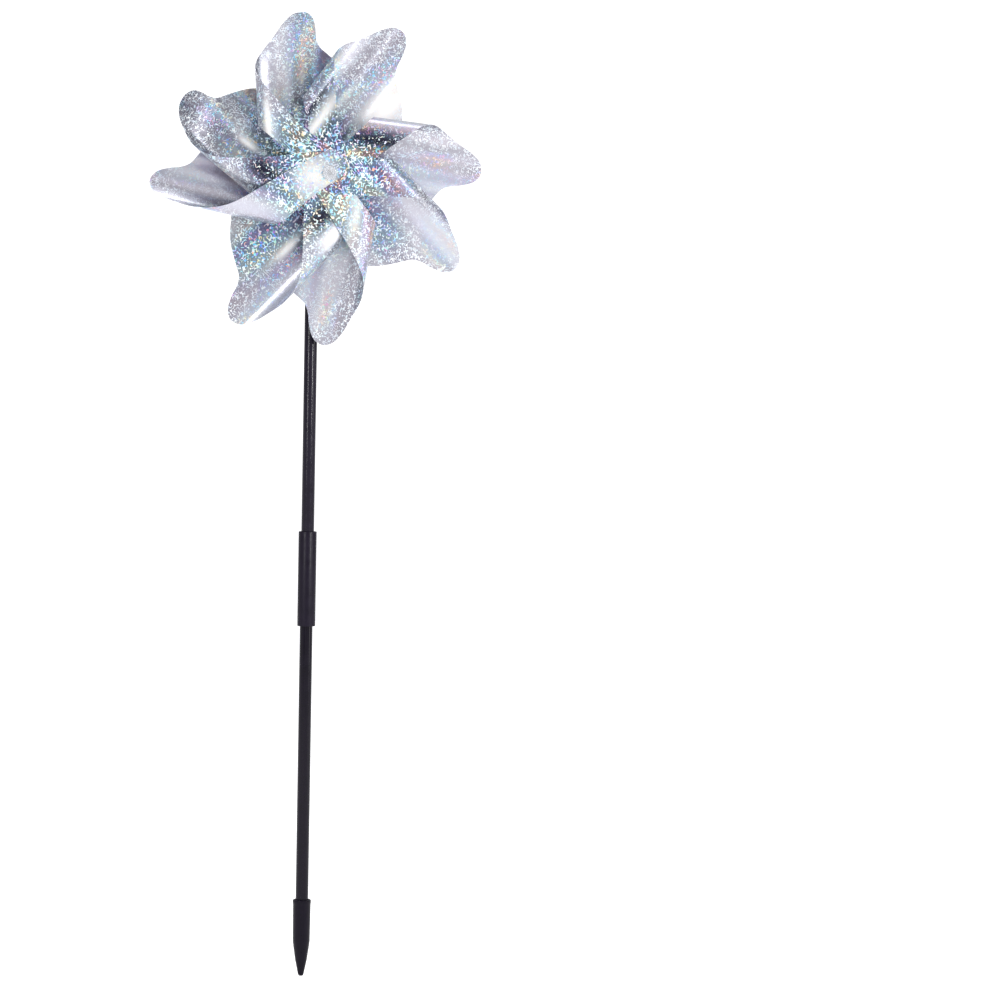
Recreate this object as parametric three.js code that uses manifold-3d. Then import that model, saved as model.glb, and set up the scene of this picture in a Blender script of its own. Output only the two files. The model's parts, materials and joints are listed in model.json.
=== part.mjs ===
// A garden pinwheel: an eight-petal film wheel on a plastic axle, held by a two-section plug-together pole
// with a ground spike. Millimetres, +Z up. The origin is the tip of the spike, the wheel faces -Y, and the
// pole stands on the Z axis.
import * as THREE from 'three';
import { mergeVertices } from 'three/addons/utils/BufferGeometryUtils.js';
import Module from 'manifold-3d';

const wasm = await Module();
wasm.setup();

// ---- driving dimensions ----
const ROUND = 32;                 // sides of a round part
const SMALL_ROUND = 24;           // sides of the small parts on the axle
const GAP = 0.3;                  // clearance between neighbouring parts

const POLE_R = 4;                 // the pole is an 8 mm tube
const POLE_WALL = 0.9;
const SPIKE_LENGTH = 48;
const SPIKE_R = 5.55;             // outside of the spike's socket
const SPIKE_LIP = 0.2;            // how far the socket's rounded rim stands out
const SPIKE_TIP_R = 1.3;
const SPIKE_SHOULDER = 19;        // height where the socket part ends and the point begins
const SPIKE_SOCKET = 22;          // depth of the socket
const SLEEVE_BOTTOM = 219.5;
const SLEEVE_TOP = 278.5;
const SLEEVE_R = 5.65;
const SLEEVE_STOP = 2;            // height of the rib that parts the two sockets
const SLEEVE_STOP_R = 2.4;        // opening through that rib
const HUB_HEIGHT = 499;           // axle above the tip of the spike
const POLE_TOP = 512;
const TOP_CAP_HEIGHT = 3;
const TOP_PLUG = 7;               // how far the top cap's plug reaches into the tube

const PIN_R = 1.5;
const BORE_R = 1.9;               // holes that the axle passes through
const HEAD_R = 4.3;               // domed front head of the axle
const HEAD_HEIGHT = 2.2;
const REAR_CAP_R = 4;
const REAR_CAP_LENGTH = 5;
const SPACER_R = 3;               // tubes on the axle
const WASHER_R = 5;
const WASHER_HEIGHT = 1;
const FRONT_WASHER_R = 3.7;
const DISC_DEPTH = 15.5;          // centre of the rear sheet in front of the pole's axis

const FILM = 0.3;                 // thickness of the film
const LEVEL = FILM + GAP;         // step from one stacked layer to the next
const LOOP = 88;                  // film length from the hole in the disc to the hole in the tail
const LOOP_DEPTH = 28;            // from the disc forward to the lowest tail
const LEAN = 7 * Math.PI / 180;   // slope of a petal at either end of its loop
const SWEEP = 0.06;               // how far a petal falls back for each unit it reaches out
const CURL_START = 55;            // the lobe of a curled petal bends forward beyond this reach
const DISC_R = 12.4;
const CLAMP_INNER = 12.5;         // the hub holds the film flat within this radius
const CLAMP_OUTER = 26;           // beyond this radius the film is free
const OFFSET_OUTER = 34;          // a petal's offset grows from nothing at the hub to its whole out here
const TAIL_END = new THREE.Vector2(LOOP + 5.1, -0.1);
const TAIL_END_R = 9.3;
const TAIL_SLANT = Math.PI / 4;   // the tail leaves its hole at this angle to the bend
const REAR_ANGLE = -9.1;          // degrees, reach of the rear sheet's first petal
const FRONT_ANGLE = 46.9;

// The petals are looped by hand, so each differs a little. Anticlockwise from the first petal of a sheet:
// level is the place of its tail in the stack, skew turns its bend line and offset turns the whole petal
// (degrees), turn is the length of film over which it turns back, and curl is the bend of its lobe (1/mm).
const REAR_PETALS = [
  { level: 3, skew: 4, offset: 0, turn: 46, curl: 0 },
  { level: 5, skew: 8, offset: 5, turn: 46, curl: 1 / 60 },
  { level: 7, skew: -3, offset: 1, turn: 64, curl: 0 },
  { level: 1, skew: 0, offset: 0, turn: 54, curl: 0 },
];
const FRONT_PETALS = [
  { level: 4, skew: 6, offset: 1, turn: 50, curl: 0 },
  { level: 6, skew: 1, offset: 3.5, turn: 50, curl: 1 / 50 },
  { level: 0, skew: -2, offset: 1.5, turn: 50, curl: 0 },
  { level: 2, skew: 0, offset: -0.7, turn: 50, curl: 0 },
];
const STACK = REAR_PETALS.length + FRONT_PETALS.length;

// One petal laid flat. X runs from the disc's hole towards the tail's hole, Y towards the lobe.
const OUTER_EDGE = [
  [-26, 44], [-24.5, 51], [-19, 59], [-13.5, 65.5], [-7, 70.5], [0, 75], [6, 79], [9.3, 84.5], [11, 91],
  [14.5, 98.5], [20.5, 102.3], [27.5, 100], [32.5, 92.5], [36, 84], [40.5, 75.5], [46.5, 66], [53, 56.5],
  [60, 48], [68.6, 38.6], [82.4, 24.3],
];
const INNER_EDGE = [
  [-26, 44], [-24, 36], [-18, 29.5], [-11, 26], [-8, 21.5], [-4.6, 12.3], [-3, 8.5], [0, 7.5], [4, 8],
  [6.5, 11.5], [10.3, 17.5], [15, 21.5], [22, 23.5], [30, 25.5], [38, 26.5], [45.5, 25.5], [52, 21.5],
  [58.5, 17], [69, 8.5],
];

// ---- helpers ----
function material(color, roughness, metalness = 0) {
  return new THREE.MeshStandardMaterial({ color, roughness, metalness });
}

function named(name, geometry, look) {
  const mesh = new THREE.Mesh(geometry, look);
  mesh.name = name;
  return mesh;
}

// A body of revolution about +Z; each profile point is [radius, height].
function turned(profile, sides = ROUND) {
  const points = profile.map(([radius, height]) => new THREE.Vector2(radius, height));
  return new THREE.LatheGeometry(points, sides).rotateX(Math.PI / 2);
}

function tube(outer, inner, low, high, sides = ROUND) {
  return turned([[inner, low], [outer, low], [outer, high], [inner, high], [inner, low]], sides);
}

function toSolid(geometry) {
  const bare = geometry.clone();
  bare.deleteAttribute('normal');
  bare.deleteAttribute('uv');
  const merged = mergeVertices(bare, 1e-5);
  const index = merged.index.array;
  const triangles = [];
  for (let i = 0; i < index.length; i += 3) {
    const [a, b, c] = [index[i], index[i + 1], index[i + 2]];
    if (a !== b && b !== c && c !== a) triangles.push(a, b, c);
  }
  return new wasm.Manifold(new wasm.Mesh({
    numProp: 3,
    vertProperties: new Float32Array(merged.attributes.position.array),
    triVerts: new Uint32Array(triangles),
  }));
}

function fromSolid(solid) {
  const mesh = solid.getMesh();
  const geometry = new THREE.BufferGeometry();
  geometry.setAttribute('position', new THREE.BufferAttribute(new Float32Array(mesh.vertProperties), 3));
  geometry.setIndex(new THREE.BufferAttribute(new Uint32Array(mesh.triVerts), 1));
  geometry.computeVertexNormals();
  return geometry;
}

const smooth = (from, to, value) => THREE.MathUtils.smoothstep(value, from, to);

// ---- film ----
const SECTION_STEP = 0.5;

// The section of a loop: the film leaves the disc at a small slope, turns back about the middle of its
// length and comes back in front of where it began. Points lie one step of film apart.
function loopSection(length, turn) {
  const points = [new THREE.Vector2(0, 0)];
  for (let s = SECTION_STEP / 2; s < LOOP + 3 * TAIL_END_R; s += SECTION_STEP) {
    const u = THREE.MathUtils.clamp((s - length / 2) / turn + 0.5, 0, 1);
    const slope = LEAN + (Math.PI - 2 * LEAN) * (u - Math.sin(2 * Math.PI * u) / (2 * Math.PI));
    const last = points[points.length - 1];
    points.push(new THREE.Vector2(
      last.x + SECTION_STEP * Math.cos(slope),
      last.y + SECTION_STEP * Math.sin(slope),
    ));
  }
  return points;
}

function onSection(section, s) {
  if (s <= 0) return new THREE.Vector2(s * Math.cos(LEAN), s * Math.sin(LEAN));
  const place = s / SECTION_STEP;
  const below = Math.floor(place);
  return section[below].clone().lerp(section[below + 1], place - below);
}

// Returns the function that says where a point of a flat petal goes: x along the disc, y out along the
// petal, z forward of the disc.
function petalBend({ level, skew, turn, curl }, discLift) {
  const cos = Math.cos(THREE.MathUtils.degToRad(skew));
  const sin = Math.sin(THREE.MathUtils.degToRad(skew));
  const length = LOOP * cos;
  const section = loopSection(length, turn);
  const tail = onSection(section, length);
  const lift = level * LEVEL;
  const tailZ = LOOP_DEPTH + lift;
  return (s, g) => {
    const along = s * cos - g * sin;
    let reach = s * sin + g * cos;
    const across = onSection(section, along);
    const back = smooth(0.5 * length, 0.92 * length, along);   // brings the tail's hole onto the axle
    across.x -= tail.x * back;
    reach -= LOOP * sin * back;
    let free = across.y * (across.y > 0 ? tailZ : LOOP_DEPTH) / tail.y - SWEEP * reach;
    if (curl > 0 && reach > CURL_START) {
      const angle = curl * (reach - CURL_START);
      reach = CURL_START + Math.sin(angle) / curl;
      free += (1 - Math.cos(angle)) / curl;
    }
    const x = across.x * cos + reach * sin;
    const y = reach * cos - across.x * sin;
    const held = along < length / 2 ? discLift : tailZ;
    const hold = 1 - smooth(CLAMP_INNER, CLAMP_OUTER, Math.hypot(x, y));
    return new THREE.Vector3(x, y, free + (held - free) * hold);
  };
}

function edgeAt(points, s) {
  const next = points.findIndex((point) => point.x >= s);
  if (next <= 0) return points[next < 0 ? points.length - 1 : 0].y;
  const [a, b] = [points[next - 1], points[next]];
  return a.y + (b.y - a.y) * (s - a.x) / (b.x - a.x);
}

function splineThrough(list, end) {
  const knots = [...list.map(([x, y]) => new THREE.Vector2(x, y)), end];
  return new THREE.SplineCurve(knots).getPoints(12 * knots.length);
}

const tailSide = new THREE.Vector2(Math.cos(TAIL_SLANT), Math.sin(TAIL_SLANT)).multiplyScalar(TAIL_END_R);
const outerTouch = TAIL_END.clone().add(tailSide);
const innerTouch = TAIL_END.clone().sub(tailSide);
const outerCurve = splineThrough(OUTER_EDGE, outerTouch);
const innerCurve = splineThrough(INNER_EDGE, innerTouch);

// The lowest and highest y of the flat petal at one x.
function spanAt(s) {
  const round = Math.sqrt(Math.max(0, TAIL_END_R ** 2 - (s - TAIL_END.x) ** 2));
  const low = s > innerTouch.x ? TAIL_END.y - round : edgeAt(innerCurve, s);
  const high = s > outerTouch.x ? TAIL_END.y + round : edgeAt(outerCurve, s);
  return [low, high];
}

function stations() {
  const list = [];
  const first = OUTER_EDGE[0][0] + 0.4;
  const last = TAIL_END.x + TAIL_END_R - 0.25;
  const stretches = [[first, -22, 2], [-22, -8, 3], [-8, 12, 7], [12, 27, 4], [27, 61, 12], [61, 84, 4],
    [84, 99, 4], [99, last, 2]];
  for (const [from, to, count] of stretches) {
    for (let i = 0; i < count; i++) list.push(from + (to - from) * i / count);
  }
  return [...list, last];
}

const ACROSS = 8;

// A thin solid about a grid of points, as thick as the film.
function thickGrid(rows) {
  const columns = rows[0].length;
  const at = (i, j) => rows[THREE.MathUtils.clamp(i, 0, rows.length - 1)]
    [THREE.MathUtils.clamp(j, 0, columns - 1)];
  const count = rows.length * columns;
  const positions = new Float32Array(count * 6);
  for (let i = 0; i < rows.length; i++) {
    for (let j = 0; j < columns; j++) {
      const along = at(i + 1, j).clone().sub(at(i - 1, j));
      const acrossRow = at(i, j + 1).clone().sub(at(i, j - 1));
      const normal = along.cross(acrossRow).normalize().multiplyScalar(FILM / 2);
      const k = i * columns + j;
      at(i, j).clone().add(normal).toArray(positions, 3 * k);
      at(i, j).clone().sub(normal).toArray(positions, 3 * (k + count));
    }
  }
  const index = [];
  const quad = (a, b, c, d) => index.push(a, b, c, a, c, d);
  for (let i = 0; i + 1 < rows.length; i++) {
    for (let j = 0; j + 1 < columns; j++) {
      const k = i * columns + j;
      quad(k, k + columns, k + columns + 1, k + 1);
      quad(k + count, k + 1 + count, k + columns + 1 + count, k + columns + count);
    }
  }
  const rim = [];
  for (let i = 0; i + 1 < rows.length; i++) rim.push([i * columns, (i + 1) * columns]);
  for (let j = 0; j + 1 < columns; j++) {
    rim.push([(rows.length - 1) * columns + j, (rows.length - 1) * columns + j + 1]);
  }
  for (let i = rows.length - 1; i > 0; i--) rim.push([(i + 1) * columns - 1, i * columns - 1]);
  for (let j = columns - 1; j > 0; j--) rim.push([j, j - 1]);
  for (const [a, b] of rim) quad(a, a + count, b + count, b);
  const geometry = new THREE.BufferGeometry();
  geometry.setAttribute('position', new THREE.BufferAttribute(positions, 3));
  geometry.setIndex(index);
  return geometry;
}

// One petal in the wheel's own frame: x and z in the wheel's plane as seen from the front, -y forward.
function petal(evenAngle, shape, discLift) {
  const bent = petalBend(shape, discLift);
  const rows = stations().map((s) => {
    const [low, high] = spanAt(s);
    const row = [];
    for (let j = 0; j <= ACROSS; j++) {
      const p = bent(s, low + (high - low) * (j / ACROSS) ** 1.15);
      const offset = shape.offset * smooth(CLAMP_INNER, OFFSET_OUTER, Math.hypot(p.x, p.y));
      const out = THREE.MathUtils.degToRad(evenAngle + offset);
      const side = out + Math.PI / 2;
      row.push(new THREE.Vector3(
        p.x * Math.cos(side) + p.y * Math.cos(out),
        -p.z,
        p.x * Math.sin(side) + p.y * Math.sin(out),
      ));
    }
    return row;
  });
  return thickGrid(rows);
}

function filmSheet(firstAngle, shapes, discLift) {
  const disc = turned([[0, -FILM / 2], [DISC_R, -FILM / 2], [DISC_R, FILM / 2], [0, FILM / 2]])
    .rotateX(Math.PI / 2).translate(0, -discLift, 0);
  let solid = toSolid(disc);
  shapes.forEach((shape, i) => {
    solid = solid.add(toSolid(petal(firstAngle + 90 * i, shape, discLift)));
  });
  const hole = turned([[0, -10], [BORE_R, -10], [BORE_R, 60], [0, 60]], SMALL_ROUND).rotateX(Math.PI / 2);
  return fromSolid(solid.subtract(toSolid(hole)));
}

// ---- pole ----
const black = () => material(0x24232a, 0.35);
const poleBoreR = POLE_R - POLE_WALL;
const socketR = POLE_R + GAP;
const spikeFloor = SPIKE_LENGTH - SPIKE_SOCKET;
const sleeveMiddle = (SLEEVE_BOTTOM + SLEEVE_TOP) / 2;

const spike = turned([
  [0, 0],
  [SPIKE_TIP_R, 0],
  [SPIKE_TIP_R + 0.5, 0.9],
  [SPIKE_R - 0.75, SPIKE_SHOULDER],
  [SPIKE_R - 0.2, SPIKE_SHOULDER + 3],
  [SPIKE_R, SPIKE_LENGTH - 3],
  [SPIKE_R + SPIKE_LIP, SPIKE_LENGTH - 1.8],
  [SPIKE_R + SPIKE_LIP, SPIKE_LENGTH - 0.6],
  [SPIKE_R, SPIKE_LENGTH],
  [socketR, SPIKE_LENGTH],
  [socketR, spikeFloor],
  [0, spikeFloor],
]);

const sleeve = turned([
  [socketR, SLEEVE_BOTTOM],
  [SLEEVE_R - 0.3, SLEEVE_BOTTOM],
  [SLEEVE_R, SLEEVE_BOTTOM + 0.4],
  [SLEEVE_R, SLEEVE_TOP - 0.4],
  [SLEEVE_R - 0.3, SLEEVE_TOP],
  [socketR, SLEEVE_TOP],
  [socketR, sleeveMiddle + SLEEVE_STOP / 2],
  [SLEEVE_STOP_R, sleeveMiddle + SLEEVE_STOP / 2],
  [SLEEVE_STOP_R, sleeveMiddle - SLEEVE_STOP / 2],
  [socketR, sleeveMiddle - SLEEVE_STOP / 2],
  [socketR, SLEEVE_BOTTOM],
]);

const lowerPole = tube(POLE_R, poleBoreR, spikeFloor + GAP, sleeveMiddle - SLEEVE_STOP / 2 - GAP);

const axleHole = turned([[0, -10], [BORE_R, -10], [BORE_R, 10], [0, 10]], SMALL_ROUND)
  .rotateX(Math.PI / 2).translate(0, 0, HUB_HEIGHT);
const upperTube = tube(POLE_R, poleBoreR, sleeveMiddle + SLEEVE_STOP / 2 + GAP, POLE_TOP);
const upperPole = fromSolid(toSolid(upperTube).subtract(toSolid(axleHole)));

const topCap = turned([
  [0, POLE_TOP - TOP_PLUG],
  [poleBoreR - GAP, POLE_TOP - TOP_PLUG],
  [poleBoreR - GAP, POLE_TOP + GAP],
  [POLE_R, POLE_TOP + GAP],
  [POLE_R, POLE_TOP + TOP_CAP_HEIGHT - 1],
  [POLE_R - 0.9, POLE_TOP + TOP_CAP_HEIGHT - 0.2],
  [0, POLE_TOP + TOP_CAP_HEIGHT],
]);

// ---- axle: depths are measured forward from the pole's axis ----
const rearSheetDepth = DISC_DEPTH;
const frontSheetDepth = DISC_DEPTH + LEVEL;
const tailDepth = DISC_DEPTH + LOOP_DEPTH;                     // the lowest tail
const stackFront = tailDepth + (STACK - 1) * LEVEL + FILM / 2;
const frontWasherDepth = stackFront + GAP;
const headDepth = frontWasherDepth + WASHER_HEIGHT + GAP;
const washerDepth = rearSheetDepth - FILM / 2 - GAP - WASHER_HEIGHT;

// Turns a body made about +Z so that it points forward along the axle.
const onAxle = (geometry) => geometry.rotateX(Math.PI / 2);

const pin = onAxle(turned([
  [0, -POLE_R - REAR_CAP_LENGTH + 1],
  [PIN_R, -POLE_R - REAR_CAP_LENGTH + 1],
  [PIN_R, headDepth],
  [HEAD_R - 0.4, headDepth],
  [HEAD_R, headDepth + 0.4],
  [HEAD_R - 0.25, headDepth + 0.45 * HEAD_HEIGHT],
  [0.62 * HEAD_R, headDepth + 0.87 * HEAD_HEIGHT],
  [0, headDepth + HEAD_HEIGHT],
], SMALL_ROUND));

const rearCap = onAxle(turned([
  [0, -POLE_R - REAR_CAP_LENGTH - GAP],
  [REAR_CAP_R - 1, -POLE_R - REAR_CAP_LENGTH - GAP],
  [REAR_CAP_R, -POLE_R - REAR_CAP_LENGTH + 0.7],
  [REAR_CAP_R, -POLE_R - GAP],
  [PIN_R + GAP, -POLE_R - GAP],
  [PIN_R + GAP, -POLE_R - REAR_CAP_LENGTH + 1 - GAP],
  [0, -POLE_R - REAR_CAP_LENGTH + 1 - GAP],
], SMALL_ROUND));

const poleSpacer = onAxle(tube(SPACER_R, BORE_R, POLE_R + GAP, washerDepth - GAP, SMALL_ROUND));
const rearWasher = onAxle(tube(WASHER_R, BORE_R, washerDepth, washerDepth + WASHER_HEIGHT, SMALL_ROUND));
const innerSpacer = onAxle(tube(
  SPACER_R, BORE_R, frontSheetDepth + FILM / 2 + GAP, tailDepth - FILM / 2 - GAP, SMALL_ROUND,
));
const frontWasher = onAxle(tube(
  FRONT_WASHER_R, BORE_R, frontWasherDepth, frontWasherDepth + WASHER_HEIGHT, SMALL_ROUND,
));

// ---- assembly ----
const pinwheel = new THREE.Group();
pinwheel.add(named('ground_spike', spike, black()));
pinwheel.add(named('lower_pole', lowerPole, black()));
pinwheel.add(named('connector_sleeve', sleeve, black()));
pinwheel.add(named('upper_pole', upperPole, black()));
pinwheel.add(named('pole_top_cap', topCap, black()));

const hub = new THREE.Group();
hub.position.z = HUB_HEIGHT;
hub.add(named('axle_pin', pin, material(0xe9ecf0, 0.3)));
hub.add(named('rear_push_cap', rearCap, material(0xe9ecf0, 0.3)));
hub.add(named('pole_spacer', poleSpacer, material(0xe9ecf0, 0.35)));
hub.add(named('rear_washer', rearWasher, material(0xe9ecf0, 0.35)));
hub.add(named('inner_spacer', innerSpacer, material(0xe9ecf0, 0.35)));
hub.add(named('front_washer', frontWasher, material(0xe9ecf0, 0.35)));

const wheel = new THREE.Group();
wheel.position.y = -rearSheetDepth;
const film = () => material(0xc9cbd8, 0.2, 0.9);
wheel.add(named('rear_film_sheet', filmSheet(REAR_ANGLE, REAR_PETALS, 0), film()));
wheel.add(named('front_film_sheet', filmSheet(FRONT_ANGLE, FRONT_PETALS, LEVEL), film()));
hub.add(wheel);
pinwheel.add(hub);

export default pinwheel;
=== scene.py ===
"""Looks for a garden pinwheel: two looped sheets of holographic film on a plastic axle, on a black pole.

Metres, +Z up, the wheel faces -Y. Lengths in the tables are millimetres and are scaled when a mesh is made.
"""

import json
import math

import bpy
import numpy as np
from mathutils import Matrix, Vector


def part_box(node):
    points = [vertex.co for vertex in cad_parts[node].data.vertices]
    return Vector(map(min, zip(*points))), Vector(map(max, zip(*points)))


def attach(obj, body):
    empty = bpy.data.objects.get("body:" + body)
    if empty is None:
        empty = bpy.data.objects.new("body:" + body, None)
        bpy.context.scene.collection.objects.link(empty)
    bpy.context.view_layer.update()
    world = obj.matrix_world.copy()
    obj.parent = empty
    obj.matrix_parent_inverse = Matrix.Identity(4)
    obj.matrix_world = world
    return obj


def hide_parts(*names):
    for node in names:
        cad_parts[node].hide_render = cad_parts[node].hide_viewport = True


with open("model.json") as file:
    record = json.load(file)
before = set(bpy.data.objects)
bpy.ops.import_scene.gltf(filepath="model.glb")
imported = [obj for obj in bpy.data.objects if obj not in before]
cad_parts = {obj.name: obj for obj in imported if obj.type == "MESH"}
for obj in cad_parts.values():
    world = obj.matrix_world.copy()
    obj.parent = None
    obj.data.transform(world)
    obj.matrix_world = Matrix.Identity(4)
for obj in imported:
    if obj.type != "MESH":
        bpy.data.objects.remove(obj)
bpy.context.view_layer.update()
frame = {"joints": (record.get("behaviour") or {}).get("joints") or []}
MM = 0.001
UPRIGHT_TO_AXLE = Matrix.Rotation(math.pi / 2, 4, "X")  # turns a body made about +Z to face -Y

# ---- film dimensions, the same loops as the CAD sheets ----
FILM = 0.2  # drawn thickness
LEVEL = 0.6  # step from one stacked layer to the next
LOOP = 88  # film length from the hole in the disc to the hole in the tail
LOOP_DEPTH = 28
LEAN = math.radians(7)  # slope at either end of a loop
SWEEP = 0.06  # how far a petal falls back for each unit it reaches out
CURL_START = 55  # a curled lobe is straight up to this reach
BACK_START, BACK_END = 0.5, 0.92  # shares of a loop over which its film is drawn back over the hub
DISC_R = 12.4
HOLE_R = 1.9
CLAMP_INNER, CLAMP_OUTER = 12.5, 26  # held flat inside, free outside
OFFSET_OUTER = 34  # a petal's offset grows from nothing at the hub to its whole out here
TAIL_END = np.array([LOOP + 5.1, -0.1])
TAIL_END_R = 9.3
TAIL_SLANT = math.pi / 4
SECTION_STEP = 0.5
# Flutes: height, radians for each millimetre along the bend and out from it, phase from level to level
FLUTES = [(0.22, 0.33, 0, 1.9), (0.13, 0.61, 0.03, 3.1), (0.12, 0, 0.16, 2.3)]
FLUTE_FAN, FLUTE_FAN_START = 10, 40  # the flutes stand closer together towards the hub

# ---- the film's grid ----
STATION = 0.9  # spacing of its rows along the bend
COLUMNS = 30
LOBE_ROUND, LOBE_ROUND_ROWS = 4, 8  # the rows lie closer towards either round end
TAIL_ROUND, TAIL_ROUND_ROWS = 5, 9
FIRST_GAP, LAST_GAP = 0.02, 0.01  # keeps the end rows from shrinking to a point

# ---- the film's maps ----
UV_SCALE = 0.01  # one unit of the film's flat map is 100 mm
PATTERN_STEP = 150  # keeps the petals' patterns apart
COARSE_INNER, COARSE_OUTER = 24, 58  # the crackle is coarse about the hub
# the tone map holds the painted dark reflections and the painted glare
MAPS = ("flat", "tone", "crackle", "colour")


# Each petal, anticlockwise from its sheet's first: the place of its tail in the stack, the skew of its bend
# line and its offset (degrees), the film length that it turns over, the curl of its lobe (1/mm), and the
# tones of its film. A tone has a kind, its middle and width along the petal's loop, its middle and width out
# along the petal, and its strength. The kinds are dark, painted dark reflections and painted shade; painted
# glare, painted white highlights; plain film that shows hardly any crackle; coarse crackle; and vivid
# colours.
def petal(level, skew, offset, turn, curl, *tones):
    return dict(level=level, skew=skew, offset=offset, turn=turn, curl=curl, tones=tones)


REAR_SHEET = dict(
    node="rear_film_sheet",
    first=-9.1,
    lift=0,
    petals=[
        petal(  # right
            3, 4, 0, 46, 0,
            ("dark", 63.5, 6, 34, 27, 1), ("plain", 50, 6, 50, 40, 0.9), ("coarse", 76, 12, 22, 26, 1),
            ("vivid", 66, 14, 28, 25, 1), ("plain", -5, 26, 75, 30, 0.8),
        ),
        petal(  # top
            5, 8, 5, 46, 1 / 60,
            ("vivid", 9, 8, 74, 20, 1), ("painted_glare", 52, 2.5, 36, 12, 0.8), ("dark", 70, 7, 28, 10, 0.3),
            ("plain", 28, 8, 60, 30, 0.35),
        ),
        petal(  # left
            7, -3, 1, 64, 0,
            ("plain", 0, 40, 70, 38, 0.9), ("dark", 33, 5, 45, 22, 0.4), ("coarse", 70, 6, 20, 9, 1),
            ("plain", 56, 8, 42, 20, 0.9), ("plain", 86, 16, 2, 12, 0.7), ("painted_glare", 84, 10, 3, 12, 0.8),
        ),
        petal(  # bottom
            1, 0, 0, 54, 0,
            ("plain", 12, 16, 60, 34, 0.6), ("vivid", 20, 6, 80, 14, 0.8), ("painted_glare", 66, 5, 20, 14, 0.6),
        ),
    ],
)
FRONT_SHEET = dict(
    node="front_film_sheet",
    first=46.9,
    lift=LEVEL,
    petals=[
        petal(  # top right
            4, 6, 1, 50, 0,
            ("dark", 56, 2.5, 30, 18, 0.9), ("painted_glare", 64, 3, 28, 20, 0.95), ("dark", 71, 3, 30, 14, 0.5),
            ("plain", 28, 8, 78, 16, 0.5), ("painted_glare", -10, 11, 58, 26, 1),
        ),
        petal(  # top left
            6, 1, 3.5, 50, 1 / 50,
            ("dark", 64, 9, 32, 13, 1), ("vivid", 66, 12, 28, 18, 1), ("vivid", 12, 5, 72, 14, 1),
            ("vivid", 22, 6, 50, 14, 1), ("painted_glare", 14, 2.2, 46, 6, 0.9), ("dark", 27, 8, 84, 24, 0.45),
        ),
        petal(  # bottom left
            0, -2, 1.5, 50, 0,
            ("coarse", 2, 16, 48, 34, 0.9), ("vivid", 4, 14, 52, 32, 0.9), ("painted_glare", 18, 2.5, 46, 9, 0.8),
            ("vivid", 25, 4, 50, 26, 1), ("plain", 37, 10, 76, 30, 0.8), ("dark", 72, 9, 18, 11, 1),
            ("vivid", 72, 9, 18, 11, 1), ("painted_glare", 58, 5, 20, 14, 0.9),
        ),
        petal(  # bottom right
            2, 0, -0.7, 50, 0,
            ("coarse", 66, 12, 22, 18, 1), ("vivid", 66, 12, 22, 18, 0.8), ("coarse", 5, 13, 42, 22, 0.9),
            ("vivid", 10, 6, 42, 24, 0.8), ("plain", 27, 10, 74, 30, 0.8), ("dark", 34, 2, 50, 14, 0.4),
        ),
    ],
)

# One petal laid flat: x from the disc's hole towards the tail's hole, y towards the lobe.
OUTER_EDGE = [
    (-26, 44), (-24.5, 51), (-19, 59), (-13.5, 65.5), (-7, 70.5), (0, 75), (6, 79), (9.3, 84.5), (11, 91),
    (14.5, 98.5), (20.5, 102.3), (27.5, 100), (32.5, 92.5), (36, 84), (40.5, 75.5), (46.5, 66), (53, 56.5),
    (60, 48), (68.6, 38.6), (82.4, 24.3),
]
INNER_EDGE = [
    (-26, 44), (-24, 36), (-18, 29.5), (-11, 26), (-8, 21.5), (-4.6, 12.3), (-3, 8.5), (0, 7.5), (4, 8),
    (6.5, 11.5), (10.3, 17.5), (15, 21.5), (22, 23.5), (30, 25.5), (38, 26.5), (45.5, 25.5), (52, 21.5),
    (58.5, 17), (69, 8.5),
]

# ---- meshes ----
SHARP_ANGLE = math.radians(35)  # edges sharper than this stay crisp in smooth shading
CORNER_STEPS = 4
SPLINE_STEPS = 12  # points drawn for each point of an outline


def make_object(name, vertices, faces, maps=None):
    mesh = bpy.data.meshes.new(name)
    mesh.from_pydata([tuple(v) for v in vertices], [], faces)
    loops = np.zeros(len(mesh.loops), dtype=np.int32)
    mesh.loops.foreach_get("vertex_index", loops)
    for key, uvs in (maps or {}).items():
        layer = mesh.uv_layers.new(name=key)
        layer.data.foreach_set("uv", np.asarray(uvs, dtype=np.float32)[loops].ravel())
    mesh.validate()
    mesh.update()
    obj = bpy.data.objects.new(name, mesh)
    bpy.context.scene.collection.objects.link(obj)
    return obj


def shade(obj):
    obj.data.polygons.foreach_set("use_smooth", [True] * len(obj.data.polygons))
    obj.data.set_sharp_from_angle(angle=SHARP_ANGLE)
    return obj


def bake_modifiers(obj):
    graph = bpy.context.evaluated_depsgraph_get()
    evaluated = obj.evaluated_get(graph)
    mesh = bpy.data.meshes.new_from_object(evaluated, preserve_all_data_layers=True, depsgraph=graph)
    obj.modifiers.clear()
    obj.data = mesh


def boolean(obj, other, operation):
    modifier = obj.modifiers.new("cut", "BOOLEAN")
    modifier.operation = operation
    modifier.object = other
    modifier.solver = "MANIFOLD"
    bpy.context.view_layer.update()
    bake_modifiers(obj)
    bpy.data.objects.remove(other)


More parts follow.
